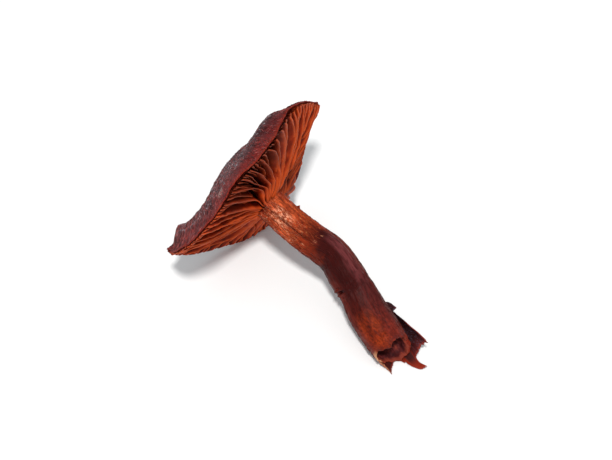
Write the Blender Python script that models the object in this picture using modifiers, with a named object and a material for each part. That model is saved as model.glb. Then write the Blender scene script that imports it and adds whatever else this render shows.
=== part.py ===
"""A dried webcap mushroom, lying on its cap's edge and on the torn foot of its stem.

World frame: metres, +Z up, the table at z = 0. The stem runs along +X from the cap to the
foot, and the origin is the middle of the bounding box's underside.
"""
import bpy
import math
from mathutils import Vector

MM = 0.001

# Driving dimensions, in millimetres

CAP_RADIUS = 16.9
CAP_CENTRE = Vector((-14.6, -0.05, 16.4))
CAP_AXIS = Vector((-0.991, 0.021, 0.133))
CAP_LONG_AXIS = Vector((0.067, 0.933, 0.354))
UMBO_HEIGHT = 6.7
FLESH_AT_RIM = 0.45
FLESH_AT_DISC = 3.1
GILL_BULGE = 2.6
GILL_COUNT = 44
GILL_THICKNESS = 0.32
LEAST_DEPTH = 0.02
SOCKET_RADIUS = 3.3

# Form of the cap, without units: places are fractions of the radius, powers set how it curves

STEEPNESS = 2.0
STEEPER_AT_RIGHT = 4.0
FLATTER_AT_LEFT = 1.3
FLESH_TAPER = 1.3
SHORT_GILL_START = 0.45
SHORT_GILL_RAMP = 0.12

# Raised shoulders and the dent: height in millimetres, place and width in fractions of the radius

SHOULDER_RISE = 0.8
RIGHT_SHOULDER = (0.72, 0.2)
LEFT_SHOULDER = (0.78, 0.12)
DENT_DEPTH = 1.1
DENT_ANGLE = math.radians(305)
DENT = (0.5, 0.26)

# Turns about the cap's middle, in radians: a gill's wider foot, and how far its edge leans

FOOT_SPREAD = 0.006
FOLDED_LEAN = 0.05
WAVY_LEAN = 0.02

# Height of the rim above the mean rim plane, every 22.5 degrees from the long axis

RIM_RISE = (3.9, 4.8, 4.0, 1.6, 0.1, 0.5, 2.5, 3.5, 3.9, 1.2, -1.1, -1.75, -0.9, -0.1, 2.3, 3.9)

# The stem's centre line from cap to foot, with its radius at each point

STEM_ROUTE = (
    (-17.3, 0.0, 16.8), (-12.7, 0.1, 16.1), (-8.0, 0.7, 14.4), (-4.5, 1.7, 12.2), (-0.9, 3.1, 9.9),
    (2.9, 3.0, 7.5), (5.7, 2.6, 6.0), (9.5, 1.5, 4.5), (13.6, 0.8, 3.7), (16.1, 0.3, 3.55),
)
STEM_RADII = (2.5, 2.6, 2.65, 2.75, 2.75, 2.95, 3.05, 3.3, 3.5, 3.5)
STEM_SIDES = 36
STEM_RINGS = 22
HOLLOW_DEPTH = 6.0
WRINKLE = 0.12
TORN_START = 1.9

# Wall of the torn foot: thick at the tube, thin at the torn edge

WALL_AT_TUBE = 1.17
WALL_AT_EDGE = 0.45
HOLLOW_NARROWS = 1.0

# How far the torn foot reaches past the end of the route, and how far it splays, by side

TORN_REACH = (2.6, 0.3, -1.2, -1.7, -1.5, -1.3, -1.7, -1.4, -1.0, 0.4, 2.8, 1.8, 0.9, 3.6, 5.2, 1.8)
TORN_SPLAY = (2.0, 0.9, 0.3, 0.0, 0.0, 0.0, 0.0, 0.1, 0.1, 0.3, 0.4, 0.2, 0.2, 0.7, 1.0, 1.5)


def around(values, angle):
    """Smooth periodic curve through values spaced evenly around a turn."""
    count = len(values)
    place = (angle / math.tau) % 1.0 * count
    index = int(place)
    t = place - index
    a, b, c, d = (values[(index + k - 1) % count] for k in range(4))
    return b + 0.5 * t * (c - a + t * (2 * a - 5 * b + 4 * c - d + t * (3 * (b - c) + d - a)))


def along(values, t):
    """Smooth curve through values, for t from 0 at the first to 1 at the last."""
    last = len(values) - 1
    place = min(max(t, 0.0), 1.0) * last
    index = min(int(place), last - 1)
    s = place - index
    b, c = values[index], values[index + 1]
    a = values[index - 1] if index > 0 else b + (b - c)
    d = values[index + 2] if index + 2 <= last else c + (c - b)
    return b + (c - a + (2 * a - 5 * b + 4 * c - d + (3 * (b - c) + d - a) * s) * s) * (0.5 * s)


def bell(x, middle, width):
    return math.exp(-((x - middle) / width) ** 2)


def material(name, colour, roughness):
    """Plain Principled material."""
    result = bpy.data.materials.new(name)
    result.use_nodes = True
    shader = result.node_tree.nodes["Principled BSDF"]
    shader.inputs["Base Color"].default_value = (*colour, 1.0)
    shader.inputs["Roughness"].default_value = roughness
    shader.inputs["Metallic"].default_value = 0.0
    result.diffuse_color = (*colour, 1.0)
    return result


def finish(obj, surface, collection):
    """Lay the object on the table, shade it and put it in the collection."""
    for vertex in obj.data.vertices:
        vertex.co.z = max(vertex.co.z, 0.0)
    obj.data.materials.append(surface)
    obj.data.shade_smooth()
    obj.data.set_sharp_from_angle(angle=math.radians(40))
    if obj.name not in collection.objects:
        collection.objects.link(obj)


def rim_height(angle):
    return around(RIM_RISE, angle)


def top_height(rho, angle):
    """Outer skin: an umbo, a hollow slope, a flat side with a raised shoulder, and a dent."""
    rim = rim_height(angle)
    toward_right = max(math.cos(angle), 0.0)
    toward_left = max(-math.cos(angle), 0.0)
    steepness = STEEPNESS + STEEPER_AT_RIGHT * toward_right ** 2 - FLATTER_AT_LEFT * toward_left ** 2
    height = rim + (UMBO_HEIGHT - rim) * (1.0 - rho ** steepness)
    height += SHOULDER_RISE * toward_right * bell(rho, *RIGHT_SHOULDER)
    height += SHOULDER_RISE * toward_left ** 2 * bell(rho, *LEFT_SHOULDER)
    toward_dent = max(math.cos(angle - DENT_ANGLE), 0.0)
    return height - DENT_DEPTH * toward_dent ** 3 * bell(rho, *DENT)


def flesh_height(rho, angle):
    """Underside of the flesh, where the gills start."""
    thickness = FLESH_AT_RIM + (FLESH_AT_DISC - FLESH_AT_RIM) * (1.0 - rho) ** FLESH_TAPER
    return top_height(rho, angle) - thickness


def edge_height(rho, angle):
    """Free edges of the gills, bulging down toward the stem."""
    return (rim_height(angle) - FLESH_AT_RIM) * rho ** 2 - GILL_BULGE * (1.0 - rho ** 1.3)


def gill_lean(rho, angle):
    """Sideways lean of a gill's free edge, in radians: the right half lies folded over."""
    folded = max(math.cos(angle), 0.0)
    return FOLDED_LEAN * folded * math.sin(math.pi * min(rho, 1.0)) - WAVY_LEAN * math.sin(2 * angle)


def cap_point(rho, angle, height):
    """World position, in millimetres, of a point of the cap."""
    long_axis = CAP_LONG_AXIS.normalized()
    axis = CAP_AXIS.normalized()
    side = axis.cross(long_axis).normalized()
    across = long_axis * math.cos(angle) + side * math.sin(angle)
    return CAP_CENTRE + across * (rho * CAP_RADIUS) + axis * height


def gill_point(rho, angle):
    """Fold the turned underside: four steps of the turn make a gill's two feet and two edges."""
    step_angle = math.tau / (4 * GILL_COUNT)
    gill, role = divmod(round(angle / step_angle), 4)
    middle = (gill * 4 + 1.5) * step_angle
    side = -1.0 if role < 2 else 1.0
    half_width = 0.5 * GILL_THICKNESS / (CAP_RADIUS * rho)
    reach = 1.0
    if gill % 2:
        reach = min(max((rho - SHORT_GILL_START) / SHORT_GILL_RAMP, 0.0), 1.0)
    base = flesh_height(rho, angle)
    if role in (0, 3):
        return cap_point(rho, middle + side * (half_width + FOOT_SPREAD), base)
    depth = max((base - edge_height(rho, angle)) * reach, LEAST_DEPTH)
    lean = gill_lean(rho, middle) * reach
    return cap_point(rho, middle + side * half_width + lean, base - depth)


def build_cap(surface, collection):
    """Turned profile whose underside is then folded into gills."""
    top_rhos = [0.0, 0.14, 0.32, 0.5, 0.66, 0.8, 0.92, 1.0]
    socket_rho = SOCKET_RADIUS / CAP_RADIUS
    gill_rhos = [0.985, 0.92, 0.82, 0.7, 0.58, 0.46, 0.34, socket_rho + 0.005]
    profile = [(rho, "top") for rho in top_rhos]
    profile += [(rho, "gill") for rho in gill_rhos]
    profile += [(socket_rho, "flesh"), (0.0, "flesh")]

    mesh = bpy.data.meshes.new("cap")
    points = [(rho, 0.0, -float(index)) for index, (rho, part) in enumerate(profile)]
    mesh.from_pydata(points, [(k, k + 1) for k in range(len(points) - 1)], [])
    obj = bpy.data.objects.new("cap", mesh)
    collection.objects.link(obj)
    screw = obj.modifiers.new("turn", "SCREW")
    screw.steps = 4 * GILL_COUNT
    screw.render_steps = screw.steps
    screw.use_merge_vertices = True
    screw.merge_threshold = 0.00001
    evaluated = obj.evaluated_get(bpy.context.evaluated_depsgraph_get())
    turned = bpy.data.meshes.new_from_object(evaluated)
    obj.modifiers.clear()
    obj.data = turned

    for vertex in turned.vertices:
        part = profile[round(-vertex.co.z)][1]
        rho = math.hypot(vertex.co.x, vertex.co.y)
        angle = math.atan2(vertex.co.y, vertex.co.x) % math.tau
        if part == "top":
            point = cap_point(rho, angle, top_height(rho, angle))
        elif part == "flesh":
            point = cap_point(rho, angle, flesh_height(rho, angle))
        else:
            point = gill_point(rho, angle)
        vertex.co = point * MM
    finish(obj, surface, collection)


def stem_frames(count):
    """Centre, tangent and two side directions at even steps along the stem."""
    route = [Vector(point) for point in STEM_ROUTE]
    centres = [along(route, k / (count - 1)) for k in range(count)]
    frames = []
    up = Vector((0.0, 0.0, 1.0))
    for k, centre in enumerate(centres):
        tangent = (centres[min(k + 1, count - 1)] - centres[max(k - 1, 0)]).normalized()
        upward = (up - tangent * up.dot(tangent)).normalized()
        sideways = upward.cross(tangent).normalized()
        frames.append((centre, tangent, sideways, upward))
    return frames


def ring(frame, radius, shift):
    """One ring of points; radius and shift along the stem are functions of the angle."""
    centre, tangent, sideways, upward = frame
    points = []
    for k in range(STEM_SIDES):
        angle = math.tau * k / STEM_SIDES
        across = sideways * math.cos(angle) + upward * math.sin(angle)
        points.append(centre + across * radius(angle) + tangent * shift(angle))
    return points


def foot_ring(foot, part, wall):
    """Ring of the torn foot: part runs from 0 at the tube to 1 at the torn edge."""
    def radius(angle):
        return STEM_RADII[-1] - wall + around(TORN_SPLAY, angle) * part ** 2

    def shift(angle):
        return (around(TORN_REACH, angle) + TORN_START) * part - TORN_START
    return ring(foot, radius, shift)


def stem_rings(frames):
    """Rings down the outside, over the torn edge and back up into the hollow."""
    rings = []
    for k, frame in enumerate(frames[:-2]):
        t = k / (STEM_RINGS - 1)
        size = along(STEM_RADII, t)
        wrinkle = WRINKLE * math.sin(9.0 * t + 1.0)
        rings.append(ring(frame, lambda a: size + wrinkle * math.cos(3 * a + 5 * t), lambda a: 0.0))
    foot = frames[-1]
    for part in (0.0, 0.35, 0.7, 1.0):
        rings.append(foot_ring(foot, part, 0.0))
    for part in (1.0, 0.6, 0.2):
        rings.append(foot_ring(foot, part, WALL_AT_TUBE + (WALL_AT_EDGE - WALL_AT_TUBE) * part))
    for part in (0.4, 0.8):
        depth = TORN_START + (HOLLOW_DEPTH - TORN_START) * part
        size = STEM_RADII[-1] - WALL_AT_TUBE - HOLLOW_NARROWS * part
        rings.append(ring(foot, lambda a: size, lambda a: -depth))
    return rings


def build_stem(surface, collection):
    """Loft of the rings, closed by a point at the top and one at the bottom of the hollow."""
    frames = stem_frames(STEM_RINGS)
    rings = stem_rings(frames)
    foot_centre, foot_tangent = frames[-1][:2]
    verts = [frames[0][0]]
    verts += [point for points in rings for point in points]
    verts.append(foot_centre - foot_tangent * HOLLOW_DEPTH)
    last_ring = 1 + (len(rings) - 1) * STEM_SIDES
    faces = []
    for k in range(STEM_SIDES):
        beside = (k + 1) % STEM_SIDES
        faces.append((0, 1 + beside, 1 + k))
        for a in range(1, last_ring, STEM_SIDES):
            b = a + STEM_SIDES
            faces.append((a + k, a + beside, b + beside, b + k))
        faces.append((last_ring + k, last_ring + beside, len(verts) - 1))
    mesh = bpy.data.meshes.new("stem")
    mesh.from_pydata([point * MM for point in verts], [], faces)
    finish(bpy.data.objects.new("stem", mesh), surface, collection)


def main():
    for obj in list(bpy.data.objects):
        bpy.data.objects.remove(obj)
    collection = bpy.data.collections.new("dried_webcap_mushroom")
    bpy.context.scene.collection.children.link(collection)
    build_cap(material("cap_skin", (0.13, 0.03, 0.035), 0.7), collection)
    build_stem(material("stem_skin", (0.2, 0.05, 0.025), 0.45), collection)


main()
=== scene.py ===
"""Looks of the dried webcap mushroom: skin, gills, fibrous stem and torn foot.

Lengths are in millimetres in the row frame until a mesh is made, where they become metres. Round
the cap, 0 degrees is the right tip, 90 the side on the table, 180 the left tip and 270 the upper
side. Rho runs from 0 at the cap's middle to 1 at its margin. Round the stem, 90 degrees is up.
"""
import itertools
import math

import bpy
import numpy as np
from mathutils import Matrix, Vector


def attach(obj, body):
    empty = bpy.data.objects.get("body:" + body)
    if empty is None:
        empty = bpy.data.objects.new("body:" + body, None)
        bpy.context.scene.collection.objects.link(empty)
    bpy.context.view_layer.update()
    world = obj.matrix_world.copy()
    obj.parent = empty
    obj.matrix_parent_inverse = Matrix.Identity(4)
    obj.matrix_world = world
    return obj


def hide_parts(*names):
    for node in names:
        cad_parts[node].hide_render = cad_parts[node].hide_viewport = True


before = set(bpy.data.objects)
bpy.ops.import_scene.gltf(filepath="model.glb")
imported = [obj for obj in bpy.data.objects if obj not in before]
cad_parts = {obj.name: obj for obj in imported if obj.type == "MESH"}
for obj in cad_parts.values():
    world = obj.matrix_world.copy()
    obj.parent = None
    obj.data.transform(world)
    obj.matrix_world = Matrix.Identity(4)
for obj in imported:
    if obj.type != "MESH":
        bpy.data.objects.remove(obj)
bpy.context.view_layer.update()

MM = 0.001
TURN = 2.0 * math.pi

# The cap, as in the solid

CAP_RADIUS = 16.9
CAP_CENTRE = np.array((-14.6, -0.05, 16.4))
CAP_AXIS = np.array((-0.991, 0.021, 0.133))
CAP_LONG_AXIS = np.array((0.067, 0.933, 0.354))
UMBO_HEIGHT = 6.7
SHOULDER_RISE = 0.8
FLESH_AT_RIM = 0.45
FLESH_AT_DISC = 3.1
DENT_DEPTH = 1.1
DENT_ANGLE = math.radians(305)
GILL_BULGE = 2.6
SOCKET_RADIUS = 2.6
RIM_RISE = (3.8, 4.8, 4.0, 1.6, 0.1, 0.5, 2.5, 3.5, 3.9, 1.2, -1.1, -1.75, -0.9, -0.1, 2.3, 3.9)

# Where the margin folds up or down, and where it reaches farther out or less far: millimetres,
# then the place and the width in degrees

RIM_FOLDS = ((0.4, 320, 10), (-0.45, 338, 8), (0.5, 186, 5))
RIM_REACH = ((0.6, 0, 6), (-0.3, 15, 10), (0.3, 183, 3), (-0.2, 187, 2), (-0.35, 70, 14))

# Lumps and hollows of the skin: rise in millimetres, rho and its width, degrees and their width

SKIN_LUMPS = ((0.3, 0.86, 0.05, 196, 17), (0.95, 0.77, 0.08, 194, 15), (0.5, 0.7, 0.12, 216, 15),
              (0.22, 0.27, 0.12, 290, 30), (-0.3, 0.64, 0.13, 310, 12), (-0.35, 0.87, 0.06, 330, 12))

# Gills: every fourth one reaches the stem, the ones between are shorter. For each of the four:
# rho at its inner end, how much nearer the middle it starts at the upper side and where that is,
# its height as a share of the full one, what it loses of that at the left, right and far side,
# and its rows of points along and down

GILLS_AT_MARGIN = 208
GILL_THICKNESS = 0.2
GILL_INNER = (SOCKET_RADIUS / CAP_RADIUS, 0.74, 0.45, 0.74)
GILL_LONGER = ((0.0, 0), (0.3, 266), (0.25, 264), (0.3, 266))
GILL_SHARE = ((1.0, 0.0, 0.0, 0.0), (0.82, 0.32, 0.32, 0.3), (0.9, 0.2, 0.2, 0.25), (0.82, 0.32, 0.32, 0.3))
GILL_ROWS = ((38, 8), (14, 6), (26, 7), (14, 6))

# How far a gill lies over toward the next one, in degrees, every 22.5 degrees round the cap

GILL_TILT = (10, 6, 2, 0, 0, -6, -16, -14, -10, -8, -2, 4, 18, 34, 42, 24)

# Past this angle the gills stand lower by these depths: a broad recess, a slit at its border, a
# pocket beside the stem and a hollow below the right tip

RECESS_START = 341
RECESS = 0.9
SLIT = 1.9
POCKET = 1.5
TIP_HOLLOW = 0.5

# The stem, as in the solid

STEM_ROUTE = np.array((
    (-17.3, 0.0, 16.8), (-12.7, 0.1, 16.1), (-8.0, 0.7, 14.4), (-4.5, 1.7, 12.2), (-0.9, 3.1, 9.9),
    (2.9, 3.0, 7.5), (5.7, 2.6, 6.0), (9.5, 1.5, 4.5), (13.6, 0.8, 3.7), (16.1, 0.3, 3.55),
))
STEM_RADII = np.array((2.5, 2.6, 2.65, 2.75, 2.75, 2.95, 3.05, 3.3, 3.5, 3.5))

# Small glints on the stem: degrees round it and the share of its length

STEM_GLINTS = ((150, 0.303), (85, 0.352), (116, 0.335))

# The mouth of the tube at the foot: where the plain tube ends, how deep the hollow is, and how far
# its rim reaches, how wide it is there and how thick its wall is, every 22.5 degrees

TUBE_END = 0.90
MOUTH_DEPTH = 4.6
MOUTH_REACH = (0.7, 0.2, 0.0, -0.2, -0.3, 0.4, -0.1, -0.4, -0.2, 0.2, 0.5, 0.7, 1.1, 1.5, 1.6, 1.2)
MOUTH_RADIUS = (2.75, 2.85, 3.05, 3.25, 3.35, 3.4, 3.4, 3.4, 3.4, 3.35, 3.3, 3.2, 3.1, 2.95, 2.85, 2.75)
MOUTH_WALL = (0.8, 0.8, 0.65, 0.45, 0.4, 0.45, 0.35, 0.3, 0.3, 0.35, 0.4, 0.45, 0.5, 0.55, 0.65, 0.75)

# The loose outer layer round the foot: at each angle, how far it reaches past the stem's end and
# how much it opens outward a millimetre. The orange flap's tip bends round by the curl, in degrees

SKIRT_START = -5.9
SKIRT_RADIUS = 3.42
SKIRT_THICKNESS = 0.24
SKIRT_ANGLE = (205, 215, 228, 236, 241, 247, 257, 268, 279, 293, 298, 301, 314.5,
               315.5, 320.5, 328, 338, 347, 352, 357, 361, 365, 369, 373)
SKIRT_REACH = (-1.0, 0.0, 0.8, 1.7, 2.45, 1.7, 1.25, 0.8, 1.2, 2.45, 3.55, 4.4, 4.8,
               3.55, 2.3, 2.1, 1.9, 1.75, 1.75, 2.0, 2.35, 1.4, -0.8, -3.0)
SKIRT_OPENING = (0.0, 0.0, 0.01, 0.03, 0.05, 0.03, 0.0, 0.0, 0.0, 0.0, 0.015, 0.025, 0.055,
                 0.057, 0.07, 0.08, 0.09, 0.17, 0.205, 0.22, 0.23, 0.23, 0.225, 0.22)
SKIRT_CURL = 12.0

# The small hooked tooth: along the stem, outward and up from the stem's end, and its width

NIB_ROUTE = np.array((
    (-7.0, 3.0, 0.2), (-6.4, 3.4, 0.3), (-6.0, 3.75, 0.45), (-5.7, 4.0, 0.6), (-5.45, 4.25, 0.8)))
NIB_WIDTH = np.array((0.8, 1.0, 0.8, 0.45, 0.08))

# The camera, from the photograph, and the light

CAMERA_AZIMUTH = math.radians(45)
CAMERA_ELEVATION = math.radians(60)
CAMERA_DISTANCE = 0.241
CAMERA_TARGET = Vector((-0.0079, 0.0041, 0.008))
CAMERA_LENS = 85.0
FLOOR_HALF_SIZE = 1.5
LIGHT_DIRECTION = (0.2, -0.2, 0.96)
LIGHT_DISTANCE = 0.6
LIGHT_SIZE = 0.065
LIGHT_POWER = 2.75
LIGHT_COLOUR = (1.0, 0.99, 0.97)
WORLD_COLOUR = (0.965, 1.0, 1.02, 1.0)
WORLD_STRENGTH = 0.58


def unit(vectors):
    """Vectors of length 1, along the last axis."""
    return vectors / np.linalg.norm(vectors, axis=-1, keepdims=True)


AXIS = unit(CAP_AXIS)
LONG = unit(CAP_LONG_AXIS)
SIDE = unit(np.cross(AXIS, LONG))


# Smooth curves and noise

def around(values, angle):
    """Smooth periodic curve through values spaced evenly around a turn."""
    values = np.asarray(values, float)
    count = len(values)
    place = (np.asarray(angle, float) / TURN) % 1.0 * count
    index = np.floor(place).astype(int)
    t = place - index
    a, b, c, d = (values[(index + k - 1) % count] for k in range(4))
    return b + 0.5 * t * (c - a + t * (2 * a - 5 * b + 4 * c - d + t * (3 * (b - c) + d - a)))


def along(values, t):
    """Smooth curve through values, for t from 0 at the first to 1 at the last."""
    values = np.asarray(values, float)
    last = len(values) - 1
    place = np.clip(np.asarray(t, float), 0.0, 1.0) * last
    index = np.minimum(np.floor(place).astype(int), last - 1)
    s = place - index
    first, final = index == 0, index + 2 > last
    if values.ndim > 1:
        s, first, final = s[..., None], first[..., None], final[..., None]
    b, c = values[index], values[index + 1]
    a = np.where(first, 2 * b - c, values[np.maximum(index - 1, 0)])
    d = np.where(final, 2 * c - b, values[np.minimum(index + 2, last)])
    return b + (c - a + (2 * a - 5 * b + 4 * c - d + (3 * (b - c) + d - a) * s) * s) * (0.5 * s)


def lattice(ix, iy, iz, seed):
    """Repeatable pseudo-random value from -1 to 1 at whole-number points."""
    mixed = ix * 374761393 + iy * 668265263 + iz * 2147483647 + seed * 1274126177
    mixed = (mixed ^ (mixed >> 13)) * 1274126177
    mixed = mixed ^ (mixed >> 16)
    return (mixed & 0xFFFF) / 32767.5 - 1.0


def noise(x, y, z, seed):
    """Smooth value noise from -1 to 1."""
    x, y, z = np.broadcast_arrays(*(np.asarray(v, float) for v in (x, y, z)))
    base = [np.floor(v).astype(np.int64) for v in (x, y, z)]
    part = [v - b for v, b in zip((x, y, z), base)]
    part = [p * p * (3.0 - 2.0 * p) for p in part]
    total = 0.0
    for corner in itertools.product((0, 1), repeat=3):
        weight = 1.0
        for side, share in zip(corner, part):
            weight = weight * (share if side else 1 - share)
        total += weight * lattice(*(b + side for b, side in zip(base, corner)), seed)
    return total


def rough(x, y, z, seed, octaves=3):
    """Sum of finer and finer noise."""
    return sum(0.5 ** k * noise(x * 2 ** k, y * 2 ** k, z * 2 ** k, seed + k) for k in range(octaves))


def ring_noise(angle, count, other, seed):
    """Noise that closes round a turn, with about count features in it."""
    reach = count / TURN
    return noise(np.cos(angle) * reach, np.sin(angle) * reach, other, seed)


def bell(x, middle, width):
    return np.exp(-((x - middle) / width) ** 2)


def past_angle(angle, degrees):
    """How far the angle is past the given one, from minus half a turn to half a turn."""
    return (np.asarray(angle) - math.radians(degrees) + math.pi) % TURN - math.pi


def near(angle, degrees, width):
    """Bell round the turn, both in degrees: 1 at the given angle."""
    return np.exp(-(past_angle(angle, degrees) / math.radians(width)) ** 2)


def bells(angle, table):
    """Sum of bells round the turn, each a height, a place and a width in degrees."""
    return sum(height * near(angle, degrees, width) for height, degrees, width in table)


def step(x, low, high):
    t = np.clip((x - low) / (high - low), 0.0, 1.0)
    return t * t * (3.0 - 2.0 * t)


# Form of the cap

def top_height(rho, angle):
    """How far the cap's top lies along its axis from the plane through its middle."""
    rim = around(RIM_RISE, angle)
    toward_right = np.maximum(np.cos(angle), 0.0)
    toward_left = np.maximum(-np.cos(angle), 0.0)
    steepness = 2.0 + 4.0 * toward_right ** 2 - 1.3 * toward_left ** 2 - 2.2 * near(angle, 343, 16)
    height = rim + (UMBO_HEIGHT - rim) * (1.0 - rho ** steepness)
    height += SHOULDER_RISE * toward_right * bell(rho, 0.72, 0.2) * (1.0 - near(angle, 345, 18))
    height += SHOULDER_RISE * toward_left ** 2 * bell(rho, 0.78, 0.12)
    height += bells(angle, RIM_FOLDS) * step(rho, 0.9, 1.0)
    dent_turn = np.maximum(np.cos(angle - DENT_ANGLE), 0.0)
    return height - DENT_DEPTH * dent_turn ** 3 * bell(rho, 0.5, 0.26)


def flesh_height(rho, angle):
    """Underside of the flesh, thicker toward the disc and swollen at the upper side."""
    thickness = FLESH_AT_RIM + (FLESH_AT_DISC - FLESH_AT_RIM) * np.maximum(1.0 - rho, 0.0) ** 1.3
    swelling = 0.7 * near(angle, 262, 26) * bell(rho, 0.42, 0.16)
    return top_height(rho, angle) - thickness - swelling


def edge_height(rho, angle):
    """Where the free edges of the full gills lie."""
    return (around(RIM_RISE, angle) - FLESH_AT_RIM) * rho ** 2 - GILL_BULGE * (1.0 - rho ** 1.3)


def cap_point(rho, angle, height):
    rho, angle, height = np.broadcast_arrays(rho, angle, height)
    across = LONG * np.cos(angle)[..., None] + SIDE * np.sin(angle)[..., None]
    return CAP_CENTRE + across * (rho * CAP_RADIUS)[..., None] + AXIS * height[..., None]


def on_table(points):
    """Nothing reaches below the table."""
    points = np.array(points)
    points[..., 2] = np.maximum(points[..., 2], 0.0)
    return points


def skin_relief(rho, angle):
    """Low relief of the skin: lumps, folds and radial fibrils, and the corner at the left tip."""
    across, up = rho * np.cos(angle) * CAP_RADIUS, rho * np.sin(angle) * CAP_RADIUS
    relief = 0.2 * rough(across * 0.28, up * 0.28, 0.0, 3)
    relief += 0.07 * ring_noise(angle, 90, rho * 5, 5) * step(rho, 0.1, 0.4)
    relief += 0.04 * ring_noise(angle, 260, rho * 9, 6) * step(rho, 0.15, 0.5)
    relief += 0.12 * ring_noise(angle, 26, rho * 2, 9) * step(rho, 0.45, 0.95)
    for rise, middle, spread, degrees, width in SKIN_LUMPS:
        relief += rise * bell(rho, middle, spread) * near(angle, degrees, width)
    return relief


def margin_spread(rho, angle):
    """Rho moved by the wobble and the small tears of the margin, which is smoother at the far side."""
    wobble = 0.18 * ring_noise(angle, 30, 0.0, 11) + 0.16 * ring_noise(angle, 120, 0.0, 12)
    wobble = wobble - 0.3 * np.maximum(ring_noise(angle, 70, 0.0, 13) - 0.3, 0.0)
    wobble += 0.3 * ring_noise(angle, 150, 0.0, 14) * near(angle, 180, 28.65)
    wobble = wobble * (1.0 - 0.85 * near(angle, 58, 52)) + bells(angle, RIM_REACH)
    return rho + wobble / CAP_RADIUS * step(rho, 0.86, 1.0)


def skin_point(rho, angle, lift=0.0):
    """Point on the cap's skin."""
    height = top_height(rho, angle) + skin_relief(rho, angle) + lift
    return cap_point(margin_spread(rho, angle), angle, height)


# Meshes

def new_object(name, data):
    thing = bpy.data.objects.new(name, data)
    bpy.context.scene.collection.objects.link(thing)
    return thing


def make_piece(name, points, faces, uvs, surface, node, slot):
    """Mesh piece from points in millimetres, with one UV pair a face corner."""
    mesh = bpy.data.meshes.new(name)
    mesh.from_pydata((on_table(points) * MM).tolist(), [], faces)
    layer = mesh.uv_layers.new(name="UVMap")
    layer.data.foreach_set("uv", np.asarray(uvs, np.float32).ravel())
    mesh.validate()
    mesh.materials.append(surface)
    mesh.shade_smooth()
    piece = new_object(name, mesh)
    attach(piece, "root")
    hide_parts(node)
    return piece


def grid_corners(rows, columns, closed):
    """Row and column of each quad's first corner, and the next column, in a grid of points."""
    r = np.arange(rows - 1)[:, None]
    c = np.arange(columns if closed else columns - 1)[None, :]
    return r, c, (c + 1) % columns


def grid_faces(rows, columns, closed, start=0):
    """Quads of a grid of points; closed joins the last column to the first."""
    r, c, after = grid_corners(rows, columns, closed)
    low, high = r * columns + start, (r + 1) * columns + start
    return np.stack((low + c, low + after, high + after, high + c), -1).reshape(-1, 4)


def corner_uvs(corners):
    """UVs of a grid's quads, from the U and V of their four corners."""
    pairs = [np.stack(np.broadcast_arrays(u, v), -1) for u, v in corners]
    return np.stack(pairs, -2).reshape(-1, 2)


def grid_uvs(rows, columns, closed, row_values):
    """UVs of grid_faces: u runs round from 0 to 1, v is the row's value."""
    r, c, _ = grid_corners(rows, columns, closed)
    corners = ((r, c), (r, c + 1), (r + 1, c + 1), (r + 1, c))
    return corner_uvs([(column / c.shape[1], row_values[row]) for row, column in corners])


def closed_shell(rings, ring_values):
    """Points, faces and UVs of rings of points in a row, with a fan of triangles over each end.

    The faces come ring by ring, then the first end's fan and the last end's.
    """
    count, columns = rings.shape[:2]
    total, last = count * columns, (count - 1) * columns
    ring = np.arange(columns)
    after = (ring + 1) % columns
    first_fan = np.stack((after, ring, np.full(columns, total)), -1)
    last_fan = np.stack((last + ring, last + after, np.full(columns, total + 1)), -1)
    points = np.vstack((rings.reshape(-1, 3), rings[0].mean(0), rings[-1].mean(0)))
    faces = grid_faces(count, columns, True).tolist() + first_fan.tolist() + last_fan.tolist()
    u = np.repeat(ring / columns, 3)
    fans = [np.stack((u, np.full_like(u, v)), -1) for v in (ring_values[0], ring_values[-1])]
    return points, faces, np.vstack((grid_uvs(count, columns, True, ring_values), *fans))


def add_surface(piece, surface, faces):
    """A second material, on the faces that are marked true."""
    piece.data.materials.append(surface)
    piece.data.polygons.foreach_set("material_index", faces.astype(np.int32))


# Materials

def linear(red, green, blue):
    """Colour as seen, 0 to 255, to the linear value that shaders use."""
    return tuple(((v / 255.0 + 0.055) / 1.055) ** 2.4 if v > 10 else v / 255.0 / 12.92
                 for v in (red, green, blue)) + (1.0,)


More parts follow.
